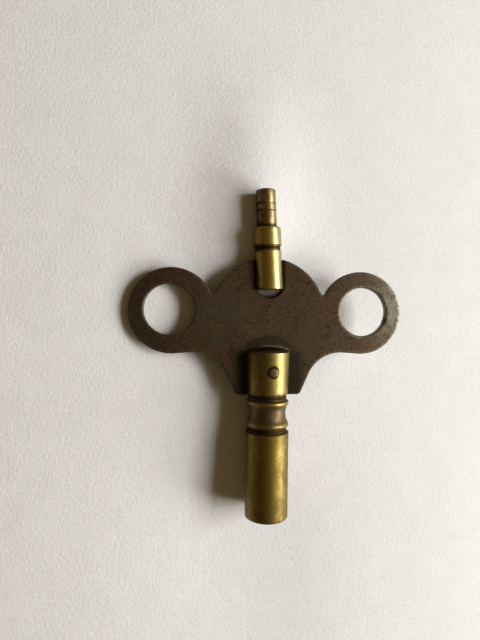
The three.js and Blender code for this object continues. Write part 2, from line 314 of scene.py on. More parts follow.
def turned(name, profile, sides, place=KEY_PLACE, wobble=0.0, seed=0.0):
    """A closed solid of revolution about Y. The profile starts and ends on the axis.

    wobble is how far, in millimetres, the surface strays from true through wear.
    """
    vertices = [(0, profile[0][1], 0)]
    for radius, y in profile[1:-1]:
        for i in range(sides):
            turn = 2 * math.pi * i / sides
            stray = noise.noise(Vector((math.cos(turn) * 1.3, y * 0.35, math.sin(turn) * 1.3 + seed)))
            r = radius - wobble * abs(stray)
            vertices.append((r * math.sin(turn), y, r * math.cos(turn)))
    vertices.append((0, profile[-1][1], 0))
    last = len(vertices) - 1
    rings = len(profile) - 2
    faces = []
    for i in range(sides):
        j = (i + 1) % sides
        faces.append((0, 1 + j, 1 + i))
        for k in range(rings - 1):
            low, high = 1 + k * sides, 1 + (k + 1) * sides
            faces.append((low + i, low + j, high + j, high + i))
        top = 1 + (rings - 1) * sides
        faces.append((top + i, top + j, last))
    return new_piece(name, vertices, faces, place)


def rod(name, radius, low, high, sides, place):
    """A plain round cutter along Y."""
    return turned(name, [(0, low), (radius, low), (radius, high), (0, high)], sides, place)


def block(name, low, high, place=KEY_PLACE, corner=0.0):
    """A box cutter along Y whose four long edges are rounded by corner."""
    (x0, y0, z0), (x1, y1, z1) = low, high
    turns = (0, 22.5, 45, 67.5, 90) if corner else (0,)
    section = []
    for cx, cz, start in ((x1, z1, 0), (x0, z1, 90), (x0, z0, 180), (x1, z0, 270)):
        sx = -1 if cx == x1 else 1
        sz = -1 if cz == z1 else 1
        for degrees in turns:
            turn = math.radians(start + degrees)
            x = cx + sx * corner + corner * math.cos(turn)
            z = cz + sz * corner + corner * math.sin(turn)
            section.append((x, z))
    return prism(name, section, y0, y1, place)


def prism(name, section, y0, y1, place=KEY_PLACE, end_scale=1.0):
    """A section in X and Z run along Y. end_scale sizes the far end's section."""
    n = len(section)
    vertices = [(x, y0, z) for x, z in section]
    vertices += [(x * end_scale, y1, z * end_scale) for x, z in section]
    faces = [tuple(range(n)), tuple(range(2 * n - 1, n - 1, -1))]
    for i in range(n):
        j = (i + 1) % n
        faces.append((j, i, n + i, n + j))
    return new_piece(name, vertices, faces, place)


def socket_cutters(size, corner, mouth, depth, lead_in, place):
    """A square socket and the sloping lead-in round its mouth. depth is negative towards -Y."""
    inward = math.copysign(1, depth)
    half = size / 2
    ends = sorted((mouth - inward, mouth + depth))
    hole = block("socket", (-half, ends[0], -half), (half, ends[1], half), place, corner)
    wide = half + 2 * lead_in
    section = [(wide, wide), (-wide, wide), (-wide, -wide), (wide, -wide)]
    if inward > 0:
        lead = prism("lead", section, mouth - lead_in, mouth + lead_in, place, half / wide)
    else:
        narrow = [(x * half / wide, z * half / wide) for x, z in section]
        lead = prism("lead", narrow, mouth - lead_in, mouth + lead_in, place, wide / half)
    return hole, lead


# ---------------------------------------------------------------- wing plate


def upper_crossing(centre_a, radius_a, centre_b, radius_b):
    """The upper of the two points where two circles cross."""
    along = centre_b - centre_a
    distance = along.length
    along.normalize()
    run = (radius_a ** 2 - radius_b ** 2 + distance ** 2) / (2 * distance)
    rise = math.sqrt(radius_a ** 2 - run ** 2)
    return centre_a + along * run + Vector((-along.y, along.x)) * rise


def angle_of(vector):
    """The vector's direction, from +X towards +Y."""
    return math.atan2(vector.y, vector.x)


def arc(centre, radius, start, end, steps):
    """Points along a circle from one angle to another, both ends included."""
    return [
        (centre.x + radius * math.cos(a), centre.y + radius * math.sin(a))
        for a in (start + (end - start) * i / steps for i in range(steps + 1))
    ]


def plate_outline(inset):
    """The plate's outline moved inwards by inset. Every inset gives the same count of points."""
    notch = upper_crossing(
        LOBE_CENTRE, LOBE_RADIUS + NOTCH_FILLET, RING_CENTRE, RING_RADIUS + NOTCH_FILLET
    )
    lobe_end = angle_of(notch - LOBE_CENTRE)
    ring_start = angle_of(notch - RING_CENTRE)
    ring_to_cove = COVE_CENTRE - RING_CENTRE
    bend = math.acos((RING_RADIUS + COVE_RADIUS) / ring_to_cove.length)
    ring_end = angle_of(ring_to_cove) + bend
    foot_y = FOOT_Y + FOOT_FILLET
    from_flank = COVE_RADIUS + FOOT_FILLET - math.sin(COVE_END) * (foot_y - COVE_CENTRE.y)
    foot = Vector((COVE_CENTRE.x + from_flank / math.cos(COVE_END), foot_y))

    right = arc(LOBE_CENTRE, LOBE_RADIUS - inset, math.pi / 2, lobe_end, 56)
    right += arc(notch, NOTCH_FILLET + inset, lobe_end + math.pi, ring_start + math.pi, 12)[1:]
    right += arc(RING_CENTRE, RING_RADIUS - inset, ring_start, ring_end, 110)[1:]
    right += arc(COVE_CENTRE, COVE_RADIUS + inset, ring_end + math.pi, COVE_END, 28)[1:]
    right += arc(foot, FOOT_FILLET - inset, COVE_END - math.pi, -math.pi / 2, 8)[1:]
    right.append((0.0, FOOT_Y + inset))
    left = [(-x, y) for x, y in reversed(right[1:-1])]
    return right + left


def hole_outline(side, inset):
    """A finger hole's outline moved outwards by inset, which is into the plate."""
    centre = Vector((side * HOLE_CENTRE.x, HOLE_CENTRE.y))
    return arc(centre, HOLE_RADIUS + inset, 0, 2 * math.pi, 96)[:-1]


def seat_distance(x, y):
    """Distance outside the regulator barrel's seat; negative inside it."""
    dx, dy = x - INNER_END_X, y - INNER_END_Y
    across = dx * math.cos(LEAN) + dy * math.sin(LEAN)
    along = dy * math.cos(LEAN) - dx * math.sin(LEAN)
    return np.hypot(across, np.minimum(along - SEAT_CENTRE_Y, 0)) - SEAT_RADIUS


def seat_line(offset):
    """An open line round the seat at that distance, run out past the lobe's edge."""
    radius = SEAT_RADIUS + offset
    run_out = 5.4
    straight = [run_out - 0.1 * i for i in range(36)]
    points = [(-radius, y) for y in straight]
    points += arc(Vector((0, SEAT_CENTRE_Y)), radius, math.pi, 2 * math.pi, 40)
    points += [(radius, y) for y in reversed(straight)]
    return [tuple((REGULATOR_IN_KEY @ Vector((x, y, 0))).xy) for x, y in points]


def heel_curve(x):
    """Y of the winding barrel's crowned heel where it meets the plate."""
    return CROWN_Y + (HEEL_Y - CROWN_Y) * np.minimum(1.0, np.abs(x) / HEEL_RADIUS) ** 2


def heel_line(offset):
    """An open line along the heel at that distance."""
    return [(x, heel_curve(x) + offset) for x in np.linspace(-HEEL_RIDGE_END, HEEL_RIDGE_END, 44)]


def polyline_distance(points, line, closed):
    """Distance from each point to the nearest place on a line."""
    line = np.array(line)
    start = line if closed else line[:-1]
    end = np.roll(line, -1, axis=0) if closed else line[1:]
    run = end - start
    length = np.maximum((run ** 2).sum(1), 1e-12)
    nearest = np.empty(len(points))
    batch = 1500
    for first in range(0, len(points), batch):
        some = points[first:first + batch, None, :]
        t = np.clip(((some - start) * run).sum(2) / length, 0, 1)
        gap = some - (start + t[..., None] * run)
        nearest[first:first + batch] = np.sqrt((gap ** 2).sum(2)).min(1)
    return nearest


def inside(points, loop):
    """Which points lie inside a closed loop."""
    x, y = points[:, 0], points[:, 1]
    result = np.zeros(len(points), bool)
    for (x0, y0), (x1, y1) in zip(loop, loop[1:] + loop[:1]):
        if y0 == y1:
            continue
        crosses = ((y0 > y) != (y1 > y)) & (x < (x1 - x0) * (y - y0) / (y1 - y0) + x0)
        result ^= crosses
    return result


def rim_distance(points):
    """Distance from each point of the plate to its nearest rim, a finger hole's included."""
    distance = polyline_distance(points, plate_outline(0), True)
    for side in (-1, 1):
        distance = np.minimum(distance, polyline_distance(points, hole_outline(side, 0), True))
    return distance


def plate_height(x, y, edge):
    """Height of the plate's face above its middle plane, edge being the distance to its rim."""
    height = PLATE_THICKNESS / 2
    if edge < PLATE_EDGE_ROUND:
        rise = PLATE_EDGE_ROUND - edge
        height -= PLATE_EDGE_ROUND - math.sqrt(max(0.0, PLATE_EDGE_ROUND ** 2 - rise ** 2))
    seat = seat_distance(x, y)
    height -= SEAT_DEPTH * (1 - step(-0.08, 0.03, seat))
    height += SEAT_BURR * bump_at(seat, 0.22, 0.16)
    heel = y - heel_curve(x)
    if abs(x) < HEEL_RIDGE_END and heel > -0.4:
        fading = 1 - step(HEEL_RIDGE_FADE, HEEL_RIDGE_END, abs(x))
        height += HEEL_RIDGE * bump_at(heel, 0.08, 0.14) * fading
    waves = LONG_WAVE * noise.noise(Vector((x * 0.22, y * 0.22, 3.7)))
    waves += SHORT_WAVE * noise.noise(Vector((x * 0.9, y * 0.9, 8.1)))
    return height + waves * step(0.0, 1.0, edge)


def flat_points():
    """Grid points over the plate, clear of its rims and of the fine lines."""
    reach = RING_CENTRE.x + RING_RADIUS
    row_spacing = GRID_SPACING * 0.866
    rows = []
    for j, y in enumerate(np.arange(FOOT_Y, LOBE_CENTRE.y + LOBE_RADIUS, row_spacing)):
        shift = GRID_SPACING / 2 if j % 2 else 0
        rows += [(x + shift, y) for x in np.arange(-reach, reach, GRID_SPACING)]
    points = np.array(rows)
    points = points[inside(points, plate_outline(0))]
    clear = RIM_LINES[-1] + 0.12
    keep = polyline_distance(points, plate_outline(0), True) > clear
    for side in (-1, 1):
        centre = np.array((side * HOLE_CENTRE.x, HOLE_CENTRE.y))
        keep &= np.hypot(*(points - centre).T) > HOLE_RADIUS + clear
    x, y = points.T
    keep &= np.abs(seat_distance(x, y)) > SEAT_LINES[-1] + 0.15
    keep &= (np.abs(x) > HEEL_RIDGE_END + 0.1) | (np.abs(y - heel_curve(x)) > HEEL_LINES[-1] + 0.18)
    return [tuple(p) for p in points[keep]]


def fine_lines():
    """The points and edges of every line that the plate's triangulation has to keep."""
    points = []
    edges = []

    def add_line(line, closed):
        first = len(points)
        count = len(line)
        points.extend(line)
        edges.extend((first + i, first + i + 1) for i in range(count - 1))
        if closed:
            edges.append((first + count - 1, first))

    for inset in RIM_LINES:
        add_line(plate_outline(inset), True)
        for side in (-1, 1):
            add_line(hole_outline(side, inset), True)
    for offset in SEAT_LINES:
        add_line(seat_line(offset), False)
    for offset in HEEL_LINES:
        add_line(heel_line(offset), False)
    return points, edges


def plate_face():
    """The plate seen from the front, as points and triangles with both finger holes open."""
    points, edges = fine_lines()
    flat = [Vector(p) for p in points + flat_points()]
    points, _, triangles, *_ = delaunay_2d_cdt(flat, edges, [], 1, 1e-5)
    points = np.array([tuple(p) for p in points])
    triangles = np.array([tuple(t) for t in triangles])
    middles = points[triangles].mean(1)
    keep = inside(middles, plate_outline(0))
    for side in (-1, 1):
        keep &= ~inside(middles, hole_outline(side, 0))
    triangles = triangles[keep]
    used = np.unique(triangles)
    new_index = np.full(len(points), -1)
    new_index[used] = np.arange(len(used))
    return points[used], new_index[triangles]


def make_wing_plate():
    """Both faces of the plate as one fine triangulation, joined round the rims."""
    points, triangles = plate_face()
    heights = [plate_height(x, y, e) for (x, y), e in zip(points, rim_distance(points))]
    count = len(points)
    solid = [(x, y, h) for (x, y), h in zip(points, heights)]
    solid += [(x, y, -h) for (x, y), h in zip(points, heights)]
    faces = []
    borders = {}
    for a, b, c in triangles.tolist():
        faces.append((a, b, c))
        faces.append((count + c, count + b, count + a))
        for pair in ((a, b), (b, c), (c, a)):
            borders[pair] = True
    for a, b in borders:
        if (b, a) not in borders:
            faces.append((b, a, count + a, count + b))
    plate = new_piece("wing_plate_worn", solid, faces)
    through = PLATE_THICKNESS / 2 + OVERRUN
    carve(plate, rod("pin_hole", PIN_RADIUS + FIT_GAP, -through, through, 40, pin_place()))
    smooth(plate, 50)
    paint_wing_plate(plate)
    return plate


def from_mark(x, y, mark):
    """Distance from a mark's centre, in which its reach along X and along Y counts as 1."""
    centre, reach = mark
    return np.hypot((x - centre[0]) / reach[0], (y - centre[1]) / reach[1])


def paint_wing_plate(plate):
    """Rims rubbed and painted pale as highlight, the milled seat, painted shade on the wings, a pale
    bloom, bare steel with painted reflection and highlight, and packed grime with painted shade and
    shadow by the barrels.
    """
    x, y, _ = places(plate).T
    rim = rim_distance(np.stack((x, y), 1))
    seat = seat_distance(x, y)
    heel = y - heel_curve(x)
    # Rims painted pale: rubbed edges, and a painted highlight where the rounded edges catch the window,
    # stronger towards the right
    glint_towards_window = 0.35 + 0.65 * step(6, 20, x)
    paint(plate, "rim", step(0, 0.06, rim) * (1 - step(0.1, 0.45, rim)) * glint_towards_window)
    paint(plate, "seat", 1 - step(-0.35, -0.1, seat))
    # painted shade: the plate is coloured darker to the right of centre, where the window lights it
    # most, and at the left ring
    paint(plate, "painted_shade", step(-10, 8, x) + 1 - step(-22, -13, x))
    paint(plate, "bloom", 0.8 * bump_at(from_mark(x, y, BLOOM), 0, 1))
    # painted highlight: a pale line along the heel's right part, where its ridge catches the window
    heel_glint = bump_at(heel, 0.32, 0.14) * step(-2.6, -0.6, x) * (1 - step(3.4, 4.2, x))
    # bare steel on the right ring, partly painted reflection, and the heel's painted highlight
    paint(plate, "wear_and_glint", bump_at(from_mark(x, y, BARE_AND_GLINT_PATCH), 0, 1) + 0.9 * heel_glint)
    # a darker band round the regulator seat's edge
    along_seat = 0.6 * bump_at(seat, 0.05, 0.4) * (seat > -0.1)
    # grime and painted shade beside the winding barrel's heel
    beside_heel = (1 - step(4.6, 7.8, np.abs(x))) * step(-1.2, 0.6, -heel)
    # painted shadow of the heel on the plate, with a darker edge
    heel_shadow_reach = from_mark(x, y, HEEL_SHADOW)
    painted_heel_shadow = 0.7 * (1 - step(0.8, 1.15, heel_shadow_reach)) + 0.2 * bump_at(heel_shadow_reach, 0.92, 0.12)
    # a dark stain by the right ring
    blotch = 0.8 * bump_at(from_mark(x, y, BLOTCH), 0, 1)
    grime_and_shade = np.maximum.reduce((along_seat, beside_heel, painted_heel_shadow, blotch))
    paint(plate, "grime_and_shade", grime_and_shade * (1 - 0.8 * heel_glint))


def pin_place():
    """Stands a solid turned about Y upright on the pin's line."""
    return (
        KEY_PLACE
        @ Matrix.Translation((PIN_X * MM, PIN_Y * MM, 0))
        @ Matrix.Rotation(math.pi / 2, 4, "X")
    )


# ---------------------------------------------------------------- barrels, tip and pin


def winding_profile():
    """From the mouth to the crown: sleeve, neck, bead, cove, bead, neck and the flared end."""
    waist_y = (LOWER_BEAD_Y + UPPER_BEAD_Y) / 2
    straight_at_bead = (UPPER_BEAD_Y - LOWER_BEAD_Y) / 11
    straight_at_waist = (UPPER_BEAD_Y - LOWER_BEAD_Y) / 3
    bead_foot = NECK_RADIUS + 0.12
    mouth = rounded([
        (0, MOUTH_Y, 0),
        (SLEEVE_RADIUS, MOUTH_Y, RIM_ROUND),
        (SLEEVE_RADIUS, SHOULDER_Y, 0.14),
        (NECK_RADIUS, SHOULDER_Y, 0.06),
        (NECK_RADIUS, LOWER_BEAD_Y - BEAD_HALF_WIDTH, 0.06),
        (bead_foot, LOWER_BEAD_Y - BEAD_HALF_WIDTH, 0),
    ])
    bead = bezier(
        mouth[-1], (BEAD_RADIUS, LOWER_BEAD_Y - BEAD_HALF_WIDTH * 0.7),
        (BEAD_RADIUS, LOWER_BEAD_Y - 0.2), (BEAD_RADIUS, LOWER_BEAD_Y), 8,
    )
    cove = bezier(
        bead[-1], (BEAD_RADIUS, LOWER_BEAD_Y + straight_at_bead),
        (WAIST_RADIUS, waist_y - straight_at_waist), (WAIST_RADIUS, waist_y), 14,
    )
    lower = mouth + bead + cove
    first_bead_point = len(mouth)
    mirrored = [(r, 2 * waist_y - y) for r, y in reversed(lower[first_bead_point:-1])]
    upper = rounded([
        (bead_foot, UPPER_BEAD_Y + BEAD_HALF_WIDTH, 0),
        (NECK_RADIUS, UPPER_BEAD_Y + BEAD_HALF_WIDTH, 0.06),
        (NECK_RADIUS, UPPER_NECK_Y, 0.06),
        (BODY_RADIUS, UPPER_NECK_Y, 0.12),
        (HEEL_RADIUS, HEEL_Y, 0.1),
        (HEEL_RADIUS / 2, CROWN_Y - 0.19, 2.0),
        (0, CROWN_Y, 0),
    ], 6)
    return lower + mirrored + upper


def make_winding_barrel():
    """The large barrel with its slot, socket, pin hole and the flat that the pin's head sits on."""
    barrel = turned("winding_barrel_turned", ringed(winding_profile(), 0.6), 144, wobble=0.03, seed=2.0)
    side = HEEL_RADIUS + OVERRUN
    gap = PLATE_THICKNESS / 2 + FIT_GAP
    slot = block("slot", (-side, FOOT_Y - FIT_GAP, -gap), (side, CROWN_Y + OVERRUN, gap))
    hole, lead = socket_cutters(
        SOCKET_SIZE, SOCKET_CORNER, MOUTH_Y, SOCKET_DEPTH, SOCKET_LEAD_IN, KEY_PLACE
    )
    top = PIN_HEAD_TOP + OVERRUN
    drill = rod("drill", PIN_RADIUS + FIT_GAP, -top, top, 40, pin_place())
    spot_face = rod("spot_face", PIN_HEAD_RADIUS + 0.12, PIN_HEAD_SEAT - FIT_GAP, top, 48, pin_place())
    carve(barrel, slot, hole, lead, drill, spot_face)
    soften_edges(barrel, 0.05)
    paint_winding_barrel(barrel)
    return barrel


def make_barrel_pin():
    """A shank with a domed, slightly battered head."""
    profile = rounded([
        (0, PIN_TAIL, 0),
        (PIN_RADIUS, PIN_TAIL, 0.08),
        (PIN_RADIUS, PIN_HEAD_SEAT, 0.02),
        (PIN_HEAD_RADIUS, PIN_HEAD_SEAT, 0.08),
        (PIN_HEAD_RADIUS * 0.9, PIN_HEAD_TOP - 0.12, 0.28),
        (PIN_HEAD_RADIUS * 0.45, PIN_HEAD_TOP, 0.3),
        (0, PIN_HEAD_TOP, 0),
    ], 6)
    pin = turned("barrel_pin_peened", ringed(profile, 0.4), 64, pin_place(), wobble=0.05, seed=5.0)
    smooth(pin, 50)
    paint(pin, "tarnish_and_shade", tarnish_and_shade(pin, [(PIN_HEAD_SEAT, 0.22, 1.0)]))
    return pin


def make_regulator_barrel():
    """The small barrel with its slot, groove and collar, and the bore for the tip's shank."""
    profile = rounded([
        (0, 0, 0),
        (INNER_RADIUS, 0, 0.1),
        (SMALL_BODY_RADIUS, SMALL_BODY_END, 0.12),
        (GROOVE_RADIUS, SMALL_BODY_END, 0.05),
        (GROOVE_RADIUS, COLLAR_START, 0.05),
        (COLLAR_RADIUS, COLLAR_START, 0.12),
        (COLLAR_RADIUS, COLLAR_END, 0.22),
        (0, COLLAR_END, 0),
    ])
    barrel = turned(
        "regulator_barrel_turned", ringed(profile, 0.4), 112, REGULATOR_PLACE, wobble=0.04, seed=9.0
    )
    side = INNER_RADIUS + OVERRUN
    gap = PLATE_THICKNESS / 2 - SEAT_DEPTH + FIT_GAP
    slot = block("slot", (-side, -OVERRUN, -gap), (side, SMALL_SLOT_DEPTH, gap), REGULATOR_PLACE)
    bore = rod(
        "bore", TIP_SHANK_RADIUS + FIT_GAP, TIP_SHANK_START - FIT_GAP, COLLAR_END + OVERRUN, 64,
        REGULATOR_PLACE,
    )
    carve(barrel, slot, bore)
    soften_edges(barrel, 0.05)
    paint_regulator_barrel(barrel)
    return barrel


def make_regulator_tip():
    """The thin tube with two fine turned lines, its socket, and the shank inside the collar."""
    shoulder = COLLAR_END + FIT_GAP
    corners = [
        (0, TIP_SHANK_START, 0),
        (TIP_SHANK_RADIUS, TIP_SHANK_START, 0.1),
        (TIP_SHANK_RADIUS, shoulder, 0.02),
        (TIP_RADIUS, shoulder, 0.05),
    ]
    for line in TIP_LINES:
        corners += [
            (TIP_RADIUS, line - 0.07, 0.02),
            (TIP_RADIUS - 0.06, line, 0.03),
            (TIP_RADIUS, line + 0.07, 0.02),
        ]
    corners += [(TIP_RADIUS, TIP_END, 0.16), (0, TIP_END, 0)]
    profile = ringed(rounded(corners), 0.4)
    tip = turned("regulator_tip_turned", profile, 96, REGULATOR_PLACE, wobble=0.05, seed=14.0)
    hole, lead = socket_cutters(
        TIP_SOCKET_SIZE, TIP_SOCKET_CORNER, TIP_END, -TIP_SOCKET_DEPTH, TIP_SOCKET_LEAD_IN,
        REGULATOR_PLACE,
    )
    carve(tip, hole, lead)
    soften_edges(tip, 0.04)
    paint_regulator_tip(tip)
    return tip


# ---------------------------------------------------------------- wear, painted shade and painted highlight on the brass


def tarnish_and_shade(piece, grooves, bore=None, shaded_left_side=0.0):
    """How much each vertex stays dark: tarnish where hands don't reach it, and painted shade on the
    side that faces away from the window.

    A groove is its y, half width and share. bore is the hollow's two ends and its radius. The last
    argument is the share of painted shade laid on the side that faces left, away from the window.
    """
    x, y, z = places(piece).T
    radius = np.hypot(x, z)
    darkened = np.zeros_like(radius)
    if bore:
        low, high, inner = bore
        darkened += 1 - step(inner - 0.25, inner, radius)
        darkened *= step(low, low + 0.6, y) * (1 - step(high - 0.6, high, y))
    # painted shade on the side that faces left, away from the window
    darkened += shaded_left_side * step(0.3, 0.95, -x / radius.clip(0.1))
    for centre, half_width, share in grooves:
        darkened += share * bump_at(y, centre, half_width)
    return darkened


def paint_winding_barrel(barrel):
    """Dark grooves and pin surround, brown patina in the cove, and rubbed bead crests and a handled
    end, both also a painted highlight.
    """
    x, y, z = places(barrel).T
    grooves = [(SHOULDER_Y + 0.45, 0.55, 0.9), (UPPER_NECK_Y - 0.5, 0.6, 0.95), (CROWN_Y, 0.45, 1.0)]
    darkened = tarnish_and_shade(barrel, grooves, bore=(MOUTH_Y, MOUTH_Y + SOCKET_DEPTH + 1, 3.3))
    round_pin = np.abs(np.hypot(x - PIN_X, y - PIN_Y) - PIN_HEAD_RADIUS)
    darkened += 0.55 * (1 - step(0.08, 0.4, round_pin)) * (z > 0)
    paint(barrel, "tarnish_and_shade", darkened)
    past_lower_bead = step(LOWER_BEAD_Y + 0.15, LOWER_BEAD_Y + 0.8, y)
    short_of_upper_bead = 1 - step(UPPER_BEAD_Y - 0.8, UPPER_BEAD_Y - 0.15, y)
    paint(barrel, "patina", past_lower_bead * short_of_upper_bead)
    # painted highlight: the bead crests and the body's side towards the window are painted brighter,
    # over their rubbing
    crests = bump_at(y, LOWER_BEAD_Y + 0.05, 0.3) + bump_at(y, UPPER_BEAD_Y - 0.05, 0.3)
    handled_and_lit = step(UPPER_NECK_Y, UPPER_NECK_Y + 0.5, y) * step(-0.3, 0.5, x / BODY_RADIUS)
    paint(barrel, "rubbed_and_highlight", 0.6 * crests + handled_and_lit)


def paint_regulator_barrel(barrel):
    """A dark groove, inner end and collar mouth, painted shade on the left side, and a rubbed right
    side painted brighter as highlight.
    """
    grooves = [(SMALL_BODY_END + 0.45, 0.5, 1.0), (0, 0.15, 0.5)]
    # painted shade on the left side, away from the window
    darkened = tarnish_and_shade(barrel, grooves, bore=(COLLAR_END - 0.1, COLLAR_END + 1, 1.9), shaded_left_side=0.35)
    paint(barrel, "tarnish_and_shade", darkened)
    # painted highlight: the side towards the window is painted as rubbed brass
    paint(barrel, "rubbed_and_highlight", step(0.3, 1.1, places(barrel)[:, 0]))


def paint_regulator_tip(tip):
    """Dark at the collar, in the two lines and in the socket, painted shade on the left, and rubbed on
    the right with a painted highlight.
    """
    grooves = [(COLLAR_END, 0.8, 0.65)] + [(line, 0.09, 0.6) for line in TIP_LINES]
    # painted shade on the left side, away from the window
    darkened = tarnish_and_shade(tip, grooves, bore=(TIP_END - TIP_SOCKET_DEPTH, TIP_END + 1, 1.45), shaded_left_side=0.4)
    paint(tip, "tarnish_and_shade", darkened)
    # painted highlight: the side towards the window is painted as rubbed brass
    paint(tip, "rubbed_and_highlight", 0.3 * step(0.2, 0.9, places(tip)[:, 0]))


# ---------------------------------------------------------------- materials


# Colours of the steel
DARK_OXIDE = (0.043, 0.024, 0.013)
LIGHT_OXIDE = (0.158, 0.097, 0.053)
MOTTLED_OXIDE = (0.15, 0.098, 0.057)
STAINED_OXIDE = (0.045, 0.027, 0.015)
# Painted shade laid over the wings' oxide
PAINTED_SHADE_OXIDE = (0.035, 0.022, 0.012)
GREEN_BLOOM = (0.095, 0.082, 0.047)
MILLED_STEEL = (0.19, 0.182, 0.142)
# Bare steel, also used for painted highlight and reflection
BARE_STEEL_AND_GLINT = (0.36, 0.35, 0.28)
FRECKLE = (0.03, 0.019, 0.011)
PIT = (0.012, 0.008, 0.005)
# Grime, and painted shade and shadow by the barrels
GRIME_AND_SHADE = (0.02, 0.018, 0.009)

# Colours that every brass piece shares
BROWN_PATINA = (0.11, 0.073, 0.04)
DEEP_TARNISH = (0.02, 0.015, 0.008)

# Paper tone, darker in the hollows of its tooth: partly painted shade
# Colours of the paper
PAPER_HOLLOWS = (0.79, 0.788, 0.782)
PAPER_CRESTS = (0.86, 0.858, 0.85)


class Tree:
    """Short calls that build one material's nodes. Sizes are millimetres on the object."""

    def __init__(self, name):
        self.material = bpy.data.materials.new(name)
        self.material.use_nodes = True
        self.tree = self.material.node_tree
        self.shader = self.tree.nodes["Principled BSDF"]
        self.place = self.tree.nodes.new("ShaderNodeTexCoord").outputs["Object"]

    def feed(self, socket, value):
        """Links a node's output to the socket, or sets the socket to a plain value."""
        if isinstance(value, bpy.types.NodeSocket):
            self.tree.links.new(value, socket)
        else:
            socket.default_value = value

    def math(self, operation, *values):
        node = self.tree.nodes.new("ShaderNodeMath")
        node.operation = operation
        for socket, value in zip(node.inputs, values):
            self.feed(socket, value)
        return node.outputs[0]

    def add(self, first, *others):
        total = first
        for value in others:
            total = self.math("ADD", total, value)
        return total

    def times(self, first, second):
        return self.math("MULTIPLY", first, second)

    def noise(self, size, detail=3.0, roughness=0.55, stretch=(1, 1, 1), shift=0.0):
        """Clouds from 0 to 1, about size across, drawn out along each axis by stretch.

        shift takes them from another part of the noise, so that no two calls match.
        """
        mapping = self.tree.nodes.new("ShaderNodeMapping")
        self.tree.links.new(self.place, mapping.inputs["Vector"])
        mapping.inputs["Location"].default_value = (shift, shift * 1.7, shift * 0.6)
        mapping.inputs["Scale"].default_value = [1 / (size * s * MM) for s in stretch]
        node = self.tree.nodes.new("ShaderNodeTexNoise")
        self.tree.links.new(mapping.outputs["Vector"], node.inputs["Vector"])
        node.inputs["Scale"].default_value = 1.0
        node.inputs["Detail"].default_value = detail
        node.inputs["Roughness"].default_value = roughness
        return node.outputs["Fac"]

    def band(self, low, high, value):
        """0 below low and 1 above high."""
        node = self.tree.nodes.new("ShaderNodeMapRange")
        node.interpolation_type = "SMOOTHSTEP"
        self.feed(node.inputs["Value"], value)
        node.inputs["From Min"].default_value = low
        node.inputs["From Max"].default_value = high
        return node.outputs["Result"]

    def between(self, low, high, share):
        """The number share of the way from low to high."""
        node = self.tree.nodes.new("ShaderNodeMapRange")
        self.feed(node.inputs["Value"], share)
        node.inputs["To Min"].default_value = low
        node.inputs["To Max"].default_value = high
        return node.outputs["Result"]

    def mix(self, share, first, second):
        """The colour share of the way from first to second."""
        node = self.tree.nodes.new("ShaderNodeMix")
        node.data_type = "RGBA"
        self.feed(node.inputs["Factor"], share)
        for socket, colour in ((node.inputs[6], first), (node.inputs[7], second)):
            self.feed(socket, (*colour, 1) if isinstance(colour, tuple) else colour)
        return node.outputs[2]

    def painted(self, name):
        """The number that paint() left at each vertex."""
        node = self.tree.nodes.new("ShaderNodeAttribute")
        node.attribute_name = name
        return node.outputs["Fac"]

    def bump(self, height, depth):
        """Relief from a 0 to 1 height, depth high, set on the shader."""
        node = self.tree.nodes.new("ShaderNodeBump")
        node.inputs["Distance"].default_value = depth * MM
        self.feed(node.inputs["Height"], height)
        self.tree.links.new(node.outputs["Normal"], self.shader.inputs["Normal"])

    def finish(self, colour, roughness, metallic):
        """Sets the shader's main inputs and gives the finished material."""
        self.feed(self.shader.inputs["Base Color"], colour)
        self.feed(self.shader.inputs["Roughness"], roughness)
        self.feed(self.shader.inputs["Metallic"], metallic)
        return self.material


